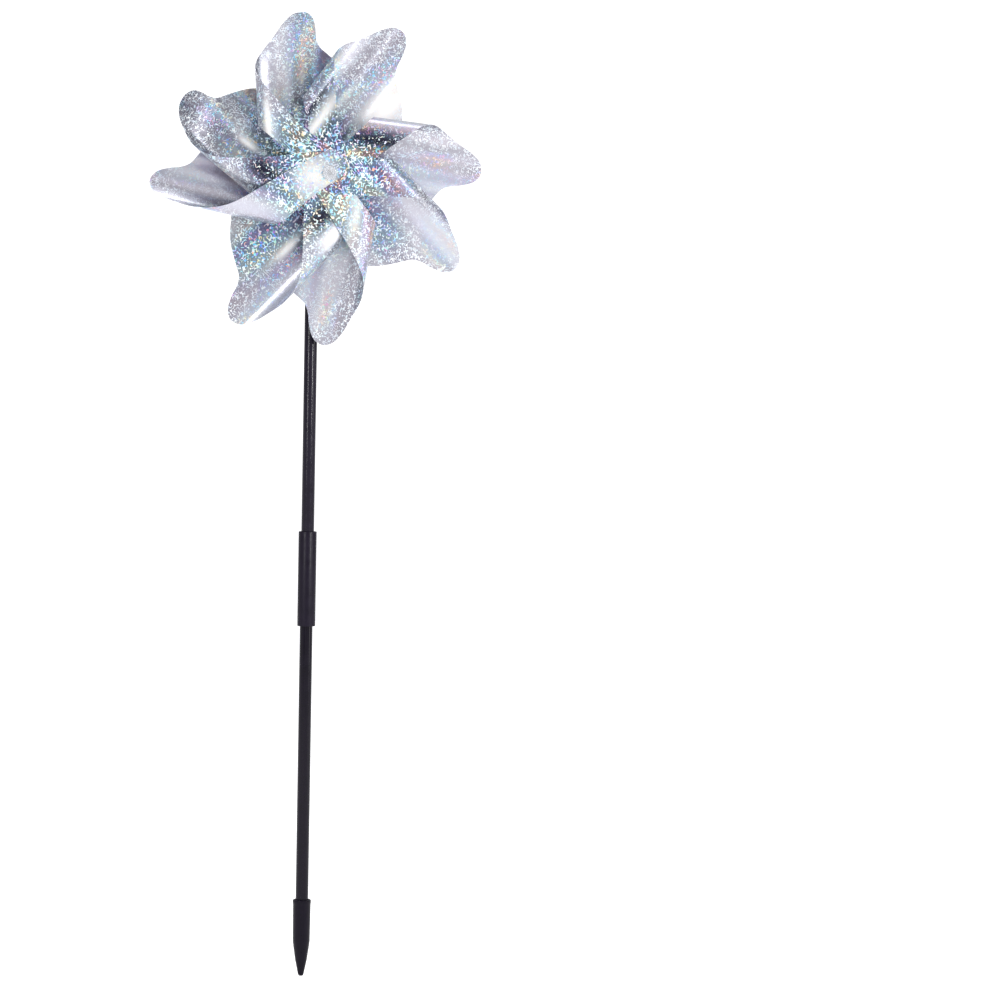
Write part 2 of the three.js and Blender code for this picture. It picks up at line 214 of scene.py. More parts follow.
def lathe(name, profile, sides=96):
    """A body of revolution about +Z from (radius, height) points in mm, closed on the axis or on itself."""
    rings = [(r * MM, z * MM) for r, z in profile]
    closed = profile[0] == profile[-1]
    if closed:
        rings.pop()
    vertices, starts = [], []
    for r, z in rings:
        starts.append(len(vertices))
        if r == 0:
            vertices.append((0, 0, z))
        else:
            turn = [2 * math.pi * k / sides for k in range(sides)]
            vertices += [(r * math.cos(a), r * math.sin(a), z) for a in turn]
    faces = []
    pairs = [(i, (i + 1) % len(rings)) for i in range(len(rings) - (0 if closed else 1))]
    for i, j in pairs:
        a, b = starts[i], starts[j]
        for k in range(sides):
            n = (k + 1) % sides
            if rings[i][0] == 0:
                faces.append((a, b + n, b + k))
            elif rings[j][0] == 0:
                faces.append((a + k, a + n, b))
            else:
                faces.append((a + k, a + n, b + n, b + k))
    return make_object(name, vertices, faces)


def rod(name, radius, start, end, sides):
    return lathe(name, [(0, start), (radius, start), (radius, end), (0, end)], sides)


def rounded(profile, radius):
    """The profile with each inner corner rounded, as moulded parts have them."""
    points = [Vector(p) for p in profile]
    out = [tuple(points[0])]
    for before, here, after in zip(points, points[1:], points[2:]):
        a, b = before - here, after - here
        if a.length < 1e-6 or b.length < 1e-6 or here.x == 0:
            out.append(tuple(here))
            continue
        size = min(radius, 0.45 * a.length, 0.45 * b.length)  # leaves room for the next corner
        start, end = here + a.normalized() * size, here + b.normalized() * size
        for k in range(CORNER_STEPS + 1):
            t = k / CORNER_STEPS
            out.append(tuple(start * (1 - t) ** 2 + here * (2 * t * (1 - t)) + end * t**2))
    out.append(tuple(points[-1]))
    return out


# ---- film geometry ----
def spline(points):
    """A smooth curve through the points."""
    points = np.array(points, float)
    last = len(points) - 1
    curve = []
    for i in range(last):
        p0, p1, p2, p3 = (points[min(max(i + k, 0), last)] for k in (-1, 0, 1, 2))
        v0, v1 = (p2 - p0) / 2, (p3 - p1) / 2
        for k in range(SPLINE_STEPS):
            t = k / SPLINE_STEPS
            cubic = (2 * p1 - 2 * p2 + v0 + v1) * t**3
            curve.append(cubic + (-3 * p1 + 3 * p2 - 2 * v0 - v1) * t**2 + v0 * t + p1)
    return np.array(curve + [points[-1]])


tail_side = np.array([math.cos(TAIL_SLANT), math.sin(TAIL_SLANT)]) * TAIL_END_R
outer_touch, inner_touch = TAIL_END + tail_side, TAIL_END - tail_side
outer_curve = spline(OUTER_EDGE + [tuple(outer_touch)])
inner_curve = spline(INNER_EDGE + [tuple(inner_touch)])


def span(s):
    """Lowest and highest y of the flat petal at each x."""
    round_end = np.sqrt(np.maximum(0, TAIL_END_R**2 - (s - TAIL_END[0]) ** 2))
    inner = np.interp(s, inner_curve[:, 0], inner_curve[:, 1])
    outer = np.interp(s, outer_curve[:, 0], outer_curve[:, 1])
    low = np.where(s > inner_touch[0], TAIL_END[1] - round_end, inner)
    high = np.where(s > outer_touch[0], TAIL_END[1] + round_end, outer)
    return low, high


def smooth(low, high, value):
    """0 at low and 1 at high, with a soft start and end; low may be the larger one."""
    t = np.clip((value - low) / (high - low), 0, 1)
    return t * t * (3 - 2 * t)


def across_bend(s, g, skew):
    """A flat petal's x and y, turned to lie along and out from its bend."""
    cos, sin = math.cos(math.radians(skew)), math.sin(math.radians(skew))
    return s * cos - g * sin, s * sin + g * cos


def loop_section(length, turn):
    """The loop from the side: film length, and how far it has come along the disc and forward of it."""
    steps = np.arange(0, LOOP + 3 * TAIL_END_R, SECTION_STEP)
    u = np.clip((steps + SECTION_STEP / 2 - length / 2) / turn + 0.5, 0, 1)
    slope = LEAN + (math.pi - 2 * LEAN) * (u - np.sin(2 * math.pi * u) / (2 * math.pi))
    section_x = np.concatenate([[0], np.cumsum(SECTION_STEP * np.cos(slope))])
    section_z = np.concatenate([[0], np.cumsum(SECTION_STEP * np.sin(slope))])
    return np.append(steps, steps[-1] + SECTION_STEP), section_x, section_z


def flutes(along, reach, level):
    """Slight waves that fan out over the film, as handled film has."""
    fan = along * (1 + FLUTE_FAN / (reach + FLUTE_FAN_START))
    return sum(
        height * np.sin(fan * for_along + reach * for_reach + level * phase)
        for height, for_along, for_reach, phase in FLUTES
    )


def bend(s, g, shape, disc_lift):
    """Where points of a flat petal go: x along the disc, y out along the petal, z forward of the disc."""
    level, skew, turn, curl = (shape[key] for key in ("level", "skew", "turn", "curl"))
    cos, sin = math.cos(math.radians(skew)), math.sin(math.radians(skew))
    length = LOOP * cos
    knots, section_x, section_z = loop_section(length, turn)
    along, reach = across_bend(s, g, skew)
    x = np.where(along < 0, along * math.cos(LEAN), np.interp(along, knots, section_x))
    z = np.where(along < 0, along * math.sin(LEAN), np.interp(along, knots, section_z))
    tail_x, tail_z = np.interp(length, knots, section_x), np.interp(length, knots, section_z)
    back = smooth(BACK_START * length, BACK_END * length, along)
    x = x - tail_x * back
    reach = reach - LOOP * sin * back
    front = LOOP_DEPTH + level * LEVEL
    free = z * np.where(z > 0, front, LOOP_DEPTH) / tail_z - SWEEP * reach
    if curl:
        angle = curl * np.maximum(0, reach - CURL_START)
        free = free + (1 - np.cos(angle)) / curl
        reach = np.minimum(reach, CURL_START) + np.sin(angle) / curl
    px, py = x * cos + reach * sin, reach * cos - x * sin
    held = np.where(along < length / 2, disc_lift, front)
    hold = 1 - smooth(CLAMP_INNER, CLAMP_OUTER, np.hypot(px, py))
    free = free + flutes(along, reach, level)
    return np.stack([px, py, free + (held - free) * hold], -1)


def stations():
    """Places of the grid's rows along the flat petal."""
    first, last = OUTER_EDGE[0][0], TAIL_END[0] + TAIL_END_R
    start = first + LOBE_ROUND * (np.arange(1, LOBE_ROUND_ROWS + 1) / LOBE_ROUND_ROWS) ** 2
    end = last - TAIL_ROUND * (np.arange(TAIL_ROUND_ROWS, 0, -1) / TAIL_ROUND_ROWS) ** 2
    count = int((end[0] - start[-1]) / STATION)
    middle = np.linspace(start[-1], end[0], count + 1)[1:-1]
    return np.concatenate([[first + FIRST_GAP], start, middle, end, [last - LAST_GAP]])


def petal_grid(angle, shape, disc_lift):
    """A petal's flat x and y by row and column, its distance from the axle, and its points on the wheel."""
    s = stations()
    low, high = span(s)
    t = np.linspace(0, 1, COLUMNS + 1)
    g = low[:, None] + (high - low)[:, None] * t[None, :]
    s = np.repeat(s[:, None], COLUMNS + 1, 1)
    local = bend(s, g, shape, disc_lift)
    radius = np.hypot(local[..., 0], local[..., 1])
    out = np.radians(angle + shape["offset"] * smooth(CLAMP_INNER, OFFSET_OUTER, radius))
    side = out + math.pi / 2
    x = local[..., 0] * np.cos(side) + local[..., 1] * np.cos(out)
    z = local[..., 0] * np.sin(side) + local[..., 1] * np.sin(out)
    return s, g, radius, np.stack([x, -local[..., 2], z], -1)


def thickened(points):
    """A closed shell of film about a grid of points: vertices, the front ones first, and faces."""
    padded = np.pad(points, ((1, 1), (1, 1), (0, 0)), mode="edge")
    normal = np.cross(padded[2:, 1:-1] - padded[:-2, 1:-1], padded[1:-1, 2:] - padded[1:-1, :-2])
    normal /= np.linalg.norm(normal, axis=-1, keepdims=True)
    front = (points + normal * FILM / 2).reshape(-1, 3)
    rear = (points - normal * FILM / 2).reshape(-1, 3)
    rows, columns = points.shape[:2]
    count = rows * columns
    corners = (np.arange(rows - 1)[:, None] * columns + np.arange(columns - 1)[None, :]).ravel().tolist()
    faces = [(a, a + columns, a + columns + 1, a + 1) for a in corners]
    faces += [(a + count, a + 1 + count, a + columns + 1 + count, a + columns + count) for a in corners]
    rim = [i * columns for i in range(rows)]
    rim += [(rows - 1) * columns + j for j in range(1, columns)]
    rim += [i * columns + columns - 1 for i in range(rows - 2, -1, -1)]
    rim += list(range(columns - 2, 0, -1))
    faces += [(a, a + count, b + count, b) for a, b in zip(rim, rim[1:] + rim[:1])]
    return np.concatenate([front, rear]), faces


def tone_field(s, g, shape, kind):
    """How strong a kind of tone is at each point of a petal."""
    along, reach = across_bend(s, g, shape["skew"])
    field = np.zeros(s.shape)
    for name, at_along, wide, at_reach, long, strength in shape["tones"]:
        if name == kind:
            near = ((along - at_along) / wide) ** 2 + (np.abs(reach - at_reach) / long) ** 3
            field = np.maximum(field, strength * np.exp(-near))
    return field


def petal_maps(s, g, radius, shape):
    """The film's maps at a petal's points: its place on flat film, and its tones, two to a map."""
    flat = np.stack([s, g + shape["level"] * PATTERN_STEP], -1).reshape(-1, 2) * UV_SCALE
    kinds = ("dark", "painted_glare", "plain", "coarse", "vivid")
    dark, painted_glare, plain, coarse, vivid = (tone_field(s, g, shape, kind).ravel() for kind in kinds)
    coarse = np.maximum(coarse, smooth(COARSE_OUTER, COARSE_INNER, radius).ravel())
    # the tone map carries the painted dark reflections and the painted glare
    pairs = (dark, painted_glare), (plain, coarse), (vivid, np.zeros_like(vivid))
    return dict(zip(MAPS, [flat, *(np.stack(pair, -1) for pair in pairs)]))


def petal_solid(angle, shape, disc_lift):
    s, g, radius, points = petal_grid(angle, shape, disc_lift)
    vertices, faces = thickened(points)
    maps = petal_maps(s, g, radius, shape)
    both_sides = {key: np.concatenate([value, value]) for key, value in maps.items()}
    return make_object("petal", vertices * MM, faces, both_sides)


def add_maps(obj):
    for key in MAPS:
        layer = obj.data.uv_layers.new(name=key)
        layer.data.foreach_set("uv", np.zeros(2 * len(obj.data.loops), dtype=np.float32))


def film_sheet(sheet, centre):
    """A disc with its four petals, as one closed mesh with the axle's hole cut through disc and tails."""
    disc = rod("disc", DISC_R, -FILM / 2, FILM / 2, 128)
    add_maps(disc)
    for loop, item in zip(disc.data.loops, disc.data.uv_layers["flat"].data):
        point = disc.data.vertices[loop.vertex_index].co
        item.uv = (point.x / MM * UV_SCALE, point.y / MM * UV_SCALE)
    disc.data.transform(Matrix.Translation((0, -sheet["lift"] * MM, 0)) @ UPRIGHT_TO_AXLE)
    for i, shape in enumerate(sheet["petals"]):
        boolean(disc, petal_solid(sheet["first"] + 90 * i, shape, sheet["lift"]), "UNION")
    hole = rod("hole", HOLE_R, -10, 60, 64)
    add_maps(hole)
    hole.data.transform(UPRIGHT_TO_AXLE)
    boolean(disc, hole, "DIFFERENCE")
    disc.name = sheet["node"].replace("sheet", "petals")
    disc.location = centre
    return shade(disc)


# ---- materials ----
class Nodes:
    """A short way to write node trees. A value is a number, a colour or another node's output."""

    def __init__(self, tree):
        self.tree = tree

    def add(self, kind, inputs=None, **settings):
        node = self.tree.nodes.new("ShaderNode" + kind)
        for key, value in settings.items():
            setattr(node, key, value)
        for key, value in (inputs or {}).items():
            self.put(node.inputs[key], value)
        return node

    def put(self, socket, value):
        if isinstance(value, bpy.types.NodeSocket):
            self.tree.links.new(value, socket)
        else:
            socket.default_value = value

    def math(self, operation, a, b=0.0, clamp=False):
        node = self.add("Math", operation=operation, use_clamp=clamp)
        self.put(node.inputs[0], a)
        self.put(node.inputs[1], b)
        return node.outputs[0]

    def times(self, a, b, clamp=False):
        return self.math("MULTIPLY", a, b, clamp)

    def plus(self, a, b):
        return self.math("ADD", a, b)

    def minus(self, a, b):
        return self.math("SUBTRACT", a, b)

    def larger(self, a, b):
        return self.math("MAXIMUM", a, b)

    def vector(self, operation, a, b=(0, 0, 0)):
        node = self.add("VectorMath", operation=operation)
        self.put(node.inputs[0], a)
        self.put(node.inputs[1], b)
        return node.outputs["Value" if operation == "DOT_PRODUCT" else "Vector"]

    def scaled(self, vector, scale):
        return self.add("VectorMath", {0: vector, "Scale": scale}, operation="SCALE").outputs[0]

    def spread(self, value, low, high, to_low=0.0, to_high=1.0, smooth=True):
        """The value from low to high, as a value from to_low to to_high."""
        node = self.add("MapRange", interpolation_type="SMOOTHSTEP" if smooth else "LINEAR")
        for socket, item in zip(node.inputs, (value, low, high, to_low, to_high)):
            self.put(socket, item)
        return node.outputs[0]

    def noise(self, where, scale, detail=2.0, roughness=0.5):
        inputs = {"Vector": where, "Scale": scale, "Detail": detail, "Roughness": roughness}
        return self.add("TexNoise", inputs).outputs[0]

    def stretched_noise(self, where, stretch, detail, roughness=0.5):
        return self.noise(self.vector("MULTIPLY", where, stretch), 1.0, detail, roughness)

    def mix(self, factor, a, b):
        """Colour a where the factor is 0 and colour b where it is 1."""
        node = self.add("Mix", data_type="RGBA")
        for index, value in ((0, factor), (6, a), (7, b)):
            self.put(node.inputs[index], value)
        return node.outputs[2]

    def ramp(self, factor, stops):
        """A colour for each factor; a stop is a factor and its colour."""
        node = self.add("ValToRGB", {0: factor})
        node.color_ramp.interpolation = "B_SPLINE"
        elements = node.color_ramp.elements
        for _ in range(len(stops) - 2):
            elements.new(0.5)
        for element, (place, colour) in zip(elements, stops):
            element.position = place
            element.color = (*colour, 1)
        return node.outputs[0]


class MaterialNodes(Nodes):
    """A new material's node tree about its shader."""

    def __init__(self, name):
        self.material = bpy.data.materials.new(name)
        self.material.use_nodes = True
        super().__init__(self.material.node_tree)
        self.shader = self.tree.nodes["Principled BSDF"]

    def set(self, **values):
        for key, value in values.items():
            self.put(self.shader.inputs[key.replace("_", " ")], value)

    def film_map(self, name):
        """The two channels of one of the film's maps."""
        return self.add("SeparateXYZ", {0: self.add("UVMap", uv_map=name).outputs[0]}).outputs[:2]

    def bump(self, height, strength):
        inputs = {"Height": height, "Strength": strength, "Distance": 0.0002}
        return self.add("Bump", inputs).outputs[0]


WHITE = (1, 1, 1, 1)
# Hues of the film's rainbow in order, as linear colours: cold ones most, then warm ones, back to the first.
RAINBOW = [
    (0, (0.06, 0.34, 1)), (0.2, (0.12, 0.78, 1)), (0.36, (0.45, 0.98, 0.8)), (0.5, (1, 0.88, 0.35)),
    (0.64, (1, 0.42, 0.15)), (0.76, (0.95, 0.3, 0.55)), (0.88, (0.35, 0.22, 1)), (1, (0.06, 0.34, 1)),
]
RAINBOW_START = 1.15
# Scales are for millimetres of flat film. A stretch is a scale along the loop, one out along the petal, and a
# third that flat film has no use for.
FINE_FLECKS, COARSE_FLECKS = 0.66, 0.48  # scales of the noise that the flecks wind along
FINE_THIN, COARSE_THIN = 1.15, 0.8  # the larger, the thinner the flecks
FLECK_EDGE = (0.06, 0.095)  # how far the noise is from its middle at the soft edge of a fleck
CELLS = 0.7  # scale of the cells that break the flecks up and colour them, each by its own random numbers
BROKEN, WHOLE = 0.28, 0.4  # a fleck fades out where its cell's number is low
BROKEN_LEFT = 0.08
ZONE_STRETCH = (0.06, 0.02, 1)
BAND_STRETCH = (0.075, 0.014, 1)
PATCH_STRETCH = (0.045, 0.03, 1)
GROUND_SHADES = (0.39, 0.36, 0.40, 1), (0.60, 0.56, 0.61, 1)
UNDER_CRACKLE = (0.22, 0.22, 0.27, 1)
UNDER_COARSE = (0.04, 0.045, 0.07, 1)
PLAIN_GROUND = (0.50, 0.50, 0.57, 1)
# painted dark reflection and painted white glare, mixed into the film's own colour
PAINTED_DARK_REFLECTION = (0.012, 0.012, 0.03, 1)
PAINTED_GLARE_WHITE = (0.99, 0.96, 0.93, 1)
FLECK_TILT = 0.15


def crackle(n, flat, coarse, breaks):
    """Short winding flecks, fine on the lobes and coarse about the hub: 1 on a fleck, 0 between them."""
    fine, large = (
        n.math("ABSOLUTE", n.minus(n.noise(flat, scale, 0.0), 0.5)) for scale in (FINE_FLECKS, COARSE_FLECKS)
    )
    fine = n.times(fine, n.spread(coarse, 0, 1, FINE_THIN, 0, smooth=False))
    winding = n.plus(fine, n.times(large, n.times(coarse, COARSE_THIN)))
    return n.times(n.spread(winding, *FLECK_EDGE, 1, 0), n.spread(breaks, BROKEN, WHOLE, BROKEN_LEFT, 1))


def crackle_strength(n, flat, dark, painted_glare, plain, coarse, bright):
    """Soft wide zones, where the crackle shows strongly or hardly at all, and what the tones make of them."""
    zone = n.stretched_noise(flat, ZONE_STRETCH, 1.0)
    strength = n.times(n.spread(zone, 0.36, 0.52, 0.65, 1), n.minus(1.0, plain))
    # painted glare hides much of the crackle; the painted dark reflection brings it out
    strength = n.times(strength, n.minus(1.0, n.times(painted_glare, 0.75)), clamp=True)
    clear = n.minus(1.0, n.times(n.larger(plain, painted_glare), 0.7))
    strength = n.larger(strength, n.larger(dark, n.times(coarse, clear)))
    return n.larger(strength, bright)


def film_material():
    n = MaterialNodes("holographic film")
    flat = n.scaled(n.add("UVMap", uv_map="flat").outputs[0], 1 / UV_SCALE)  # millimetres
    # the painted dark reflections and the painted glare, as the petals' tables place them
    dark, painted_glare = n.film_map("tone")
    plain, coarse = n.film_map("crackle")
    bright = n.film_map("colour")[0]
    cell = n.add("TexVoronoi", {"Vector": flat, "Scale": CELLS}).outputs["Color"]
    breaks, hue_chance, pale_chance = n.add("SeparateColor", {0: cell}).outputs
    strength = crackle_strength(n, flat, dark, painted_glare, plain, coarse, bright)
    fleck = n.times(crackle(n, flat, coarse, breaks), strength)
    # over the painted dark reflection, flecks fade out in most cells
    fleck = n.times(fleck, n.minus(1.0, n.times(dark, n.spread(pale_chance, 0.25, 0.5))))
    # rainbow bands that lie along the bend, strongest in a few patches
    band = n.stretched_noise(flat, BAND_STRETCH, 1.0, 0.4)
    patch = n.stretched_noise(flat, PATCH_STRETCH, 1.0)
    vivid = n.larger(n.spread(patch, 0.42, 0.62, 0, 0.7), n.times(coarse, 0.65))
    vivid = n.larger(vivid, bright)
    drift = n.times(n.minus(band, 0.5), 2.6)
    own_hue = n.times(n.minus(hue_chance, 0.5), n.spread(vivid, 0, 1, 0.2, 0.8))
    hue = n.math("FRACT", n.plus(n.plus(n.times(drift, vivid), own_hue), RAINBOW_START))
    saturation = n.times(n.spread(pale_chance, 0.1, 0.7, 0.25, 1), n.spread(vivid, 0, 1, 0.22, 1.0))
    fleck_colour = n.mix(saturation, WHITE, n.ramp(hue, RAINBOW))
    # the film between the flecks; last, the painted dark reflections and painted glare go into its colour
    tint = n.ramp(n.math("FRACT", n.plus(drift, RAINBOW_START)), RAINBOW)
    ground = n.mix(n.spread(band, 0.35, 0.65), *GROUND_SHADES)
    ground = n.mix(n.spread(vivid, 0, 1, 0.02, 0.24), ground, tint)
    ground = n.mix(n.times(strength, 0.6), ground, UNDER_CRACKLE)
    ground = n.mix(n.times(coarse, 0.7), ground, n.mix(0.14, UNDER_COARSE, tint))
    # plain film, then the painted dark reflection and the painted white glare over the ground colour
    for tone, colour in ((plain, PLAIN_GROUND), (dark, PAINTED_DARK_REFLECTION), (painted_glare, PAINTED_GLARE_WHITE)):
        ground = n.mix(tone, ground, colour)
    n.set(Base_Color=n.mix(fleck, ground, fleck_colour))
    # each fleck mirrors another way
    normal = n.add("NewGeometry").outputs["Normal"]
    tilt = n.scaled(n.vector("SUBTRACT", cell, (0.5, 0.5, 0.5)), n.times(fleck, FLECK_TILT))
    n.set(Normal=n.vector("NORMALIZE", n.vector("ADD", normal, tilt)))
    n.set(Roughness=n.spread(fleck, 0, 1, 0.34, 0.24), Metallic=n.spread(fleck, 0, 1, 0.92, 0.2))
    n.set(Coat_Weight=0.2, Coat_Roughness=0.08)
    return n.material


BLACK_SHADES = (0.0032, 0.0018, 0.0062, 1), (0.005, 0.003, 0.0092, 1)
DUST = (0.02, 0.02, 0.024, 1)
MILKY_SHADES = (0.80, 0.82, 0.86, 1), (0.93, 0.94, 0.96, 1)


def black_material(name, streak, roughness, bump, specular):
    """Black plastic with faint mottling and dust; the lower the streak, the longer its upright lines."""
    n = MaterialNodes(name)
    where = n.add("TexCoord").outputs["Object"]
    lines = n.stretched_noise(where, (900, 900, streak), 3.0)
    mottle = n.noise(where, 160.0, 4.0, 0.6)
    grain = n.noise(where, 2600.0, 2.0)
    dust = n.times(n.spread(n.noise(where, 900.0, 2.0), 0.66, 0.8), 0.25)
    n.set(Base_Color=n.mix(dust, n.mix(n.spread(mottle, 0.3, 0.7), *BLACK_SHADES), DUST))
    uneven = n.plus(n.spread(lines, 0.3, 0.7, -0.05, 0.05), n.spread(mottle, 0.3, 0.7, -0.04, 0.06))
    n.set(Roughness=n.plus(uneven, roughness))
    n.set(Normal=n.bump(n.plus(n.times(lines, 0.6), n.times(grain, 0.4)), bump))
    n.set(Specular_IOR_Level=specular)
    return n.material


def milky_material():
    """Translucent white moulding with flow marks and tiny scuffs."""
    n = MaterialNodes("milky plastic")
    where = n.add("TexCoord").outputs["Object"]
    flow = n.noise(where, 260.0, 3.0)
    scuff = n.stretched_noise(where, (3000, 3000, 700), 2.0)
    n.set(Base_Color=n.mix(n.spread(flow, 0.3, 0.7), *MILKY_SHADES))
    n.set(Roughness=n.spread(scuff, 0.35, 0.75, 0.2, 0.36))
    n.set(Normal=n.bump(scuff, 0.06))
    n.set(Transmission_Weight=0.6, IOR=1.49, Coat_Weight=0.2, Coat_Roughness=0.1)
    return n.material


film = film_material()
pole_black = black_material("extruded black plastic", streak=6, roughness=0.17, bump=0.05, specular=0.17)
fitting_black = black_material("moulded black plastic", streak=500, roughness=0.34, bump=0.12, specular=0.12)
milky = milky_material()


# ---- pieces ----
def dressed(obj, material, body, node):
    """Gives a piece its material and the body it moves with, and hides the CAD node that it stands for."""
    obj.data.materials.clear()
    obj.data.materials.append(material)
    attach(obj, body)
    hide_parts(node)
    return obj


def box_mm(node):
    low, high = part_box(node)
    return low / MM, high / MM


spin = next(joint for joint in frame["joints"] if joint["name"] == "wheel_spin")
disc_centre = Vector(spin["pos_m"])
to_axle = Matrix.Translation((0, 0, disc_centre.z)) @ UPRIGHT_TO_AXLE
for sheet in (REAR_SHEET, FRONT_SHEET):
    dressed(film_sheet(sheet, disc_centre), film, "wheel", sheet["node"])

AXLE_SIDES = 64
RIM_CORNER = 0.25
CLEARANCE = 0.3  # between a piece and what it is pushed onto or into


def on_axle(name, node, profile, body):
    """A turned part on the axle; the profile's heights are depths forward from the pole's axis."""
    obj = lathe(name, profile, AXLE_SIDES)
    obj.data.transform(to_axle)
    return dressed(shade(obj), milky, body, node)


def axle_extent(node):
    """A CAD node's radius about the axle, and its start and end forward from the pole's axis."""
    low, high = box_mm(node)
    return high.x, -high.y, -low.y


def tube_outline(inner, outer, start, end, corner):
    """A tube's wall, closed on itself, from the middle of its inside and back."""
    middle = (inner, (start + end) / 2)
    return rounded([middle, (inner, start), (outer, start), (outer, end), (inner, end), middle], corner)


for node, body in (
    ("pole_spacer", "upper_section"), ("rear_washer", "upper_section"),
    ("inner_spacer", "wheel"), ("front_washer", "wheel"),
):
    outer, start, end = axle_extent(node)
    outline = tube_outline(HOLE_R, outer, start, end, min(RIM_CORNER, (end - start) / 3))
    on_axle(node.replace("_", "_fine_"), node, outline, body)

PIN_R, PIN_CHAMFER = 1.5, 0.3
HEAD_HEIGHT, HEAD_RIM = 2.2, 0.9
HEAD_CHAMFER, HEAD_CHAMFER_HEIGHT = 0.35, 0.3
HEAD_DIMPLE = [(1.55, 0.2), (1.45, 0.34), (1.25, 0.4), (0.9, 0.4), (0, 0.36)]  # radius, depth below the top
DOME_STEPS, DOME_DRAWN = 12, 8  # a quarter arc's steps, and those up to the dimple
head_r, pin_start, pin_end = axle_extent("axle_pin")
seat = pin_end - HEAD_HEIGHT
dome_angles = [math.pi / 2 * (1 - k / DOME_STEPS) for k in range(1, DOME_DRAWN + 1)]
dome_height = HEAD_HEIGHT - HEAD_RIM
on_axle("axle_pin_domed", "axle_pin", [
    (0, pin_start), (PIN_R - PIN_CHAMFER, pin_start), (PIN_R, pin_start + PIN_CHAMFER), (PIN_R, seat),
    (head_r - HEAD_CHAMFER, seat), (head_r, seat + HEAD_CHAMFER_HEIGHT), (head_r, seat + HEAD_RIM),
    *((head_r * math.sin(a), seat + HEAD_RIM + dome_height * math.cos(a)) for a in dome_angles),
    *((radius, pin_end - depth) for radius, depth in HEAD_DIMPLE),
], "upper_section")

CAP_WALL, CAP_CORNER = 1, 0.5
CAP_SLOPE, CAP_SLOPE_HEIGHT = 1, 1.2  # the cap widens to its full radius from its outer end
cap_r, cap_start, cap_end = axle_extent("rear_push_cap")
cap_bore, cap_floor = PIN_R + CLEARANCE, cap_start + CAP_WALL
on_axle("rear_push_cap_fine", "rear_push_cap", rounded([
    (0, cap_start), (cap_r - CAP_SLOPE, cap_start), (cap_r, cap_start + CAP_SLOPE_HEIGHT), (cap_r, cap_end),
    (cap_bore, cap_end), (cap_bore, cap_floor), (0, cap_floor),
], CAP_CORNER), "upper_section")

POLE_R, POLE_BORE_R, POLE_CORNER = 4, 3.1, 0.2
SOCKET_R = 4.3


def upright(name, node, profile, body, material, cut=None):
    """A turned part that stands on the pole's axis, with a hole cut through it if there is a cut."""
    obj = lathe(name, profile)
    if cut is not None:
        cut.data.transform(to_axle)
        boolean(obj, cut, "DIFFERENCE")
    return dressed(shade(obj), material, body, node)


def pole_outline(node):
    low, high = box_mm(node)
    return tube_outline(POLE_BORE_R, POLE_R, low.z, high.z, POLE_CORNER)


axle_bore = rod("bore", HOLE_R, -10, 10, 48)
for name, node, body, cut in (
    ("lower_tube", "lower_pole", "lower_section", None),
    ("upper_tube", "upper_pole", "upper_section", axle_bore),
):
    upright(name, node, pole_outline(node), body, pole_black, cut)

SPIKE_R, SPIKE_LIP, SPIKE_TIP_R, SPIKE_CORNER = 5.55, 0.2, 1.3, 0.45
SPIKE_SHOULDER = 19  # height at which the point ends
SPIKE_SOCKET = 22  # depth
spike_top = box_mm("ground_spike")[1].z
socket_floor = spike_top - SPIKE_SOCKET
upright("spike_moulding", "ground_spike", rounded([
    (0, 0), (SPIKE_TIP_R, 0), (SPIKE_TIP_R + 0.5, 0.9),
    (SPIKE_R - 1.85, 10), (SPIKE_R - 0.7, SPIKE_SHOULDER - 1), (SPIKE_R - 0.2, SPIKE_SHOULDER + 3),
    (SPIKE_R, spike_top - 3), (SPIKE_R + SPIKE_LIP, spike_top - 2), (SPIKE_R + SPIKE_LIP, spike_top - 0.5),
    (SPIKE_R - 0.3, spike_top), (SOCKET_R, spike_top), (SOCKET_R, socket_floor), (0, socket_floor),
], SPIKE_CORNER), "spike", fitting_black)

SLEEVE_R, SLEEVE_CORNER = 5.65, 0.3
SLEEVE_STOP, SLEEVE_STOP_R = 2, 2.4  # height of the rib between its two sockets, and the opening through it
sleeve_low, sleeve_high = (corner.z for corner in box_mm("connector_sleeve"))
middle = (sleeve_low + sleeve_high) / 2
stop_low, stop_high = middle - SLEEVE_STOP / 2, middle + SLEEVE_STOP / 2
seam = (SOCKET_R, middle - 10)  # where the outline closes, inside the lower socket
upright("sleeve_moulding", "connector_sleeve", rounded([
    seam, (SOCKET_R, sleeve_low), (SLEEVE_R, sleeve_low), (SLEEVE_R, sleeve_high), (SOCKET_R, sleeve_high),
    (SOCKET_R, stop_high), (SLEEVE_STOP_R, stop_high), (SLEEVE_STOP_R, stop_low), (SOCKET_R, stop_low), seam,
], SLEEVE_CORNER), "sleeve", fitting_black)

PLUG_R, PLUG_CORNER = POLE_BORE_R - CLEARANCE, 0.4
plug_low, plug_high = (corner.z for corner in box_mm("pole_top_cap"))
flange = box_mm("upper_pole")[1].z + CLEARANCE
upright("top_plug", "pole_top_cap", rounded([
    (0, plug_low), (PLUG_R, plug_low), (PLUG_R, flange), (POLE_R, flange), (POLE_R, plug_high - 1),
    (POLE_R - 1.1, plug_high - 0.15), (0, plug_high),
], PLUG_CORNER), "upper_section", fitting_black)

# ---- floor ----
FLOOR_HALF, FLOOR_DROP = 9, 0.0005
FLOOR_GLOW = 0.45
floor_corners = [(x * FLOOR_HALF, y * FLOOR_HALF, 0) for x, y in ((-1, -1), (1, -1), (1, 1), (-1, 1))]
floor = make_object("floor", floor_corners, [(0, 1, 2, 3)])
floor.location.z = -FLOOR_DROP
paper = MaterialNodes("white paper floor")
grain = paper.noise(paper.add("TexCoord").outputs["Object"], 40.0, 3.0)
paper.set(Base_Color=paper.mix(grain, (0.93, 0.93, 0.93, 1), (0.96, 0.96, 0.96, 1)), Roughness=0.9)
paper.set(Emission_Color=WHITE, Emission_Strength=FLOOR_GLOW)
floor.data.materials.append(paper.material)

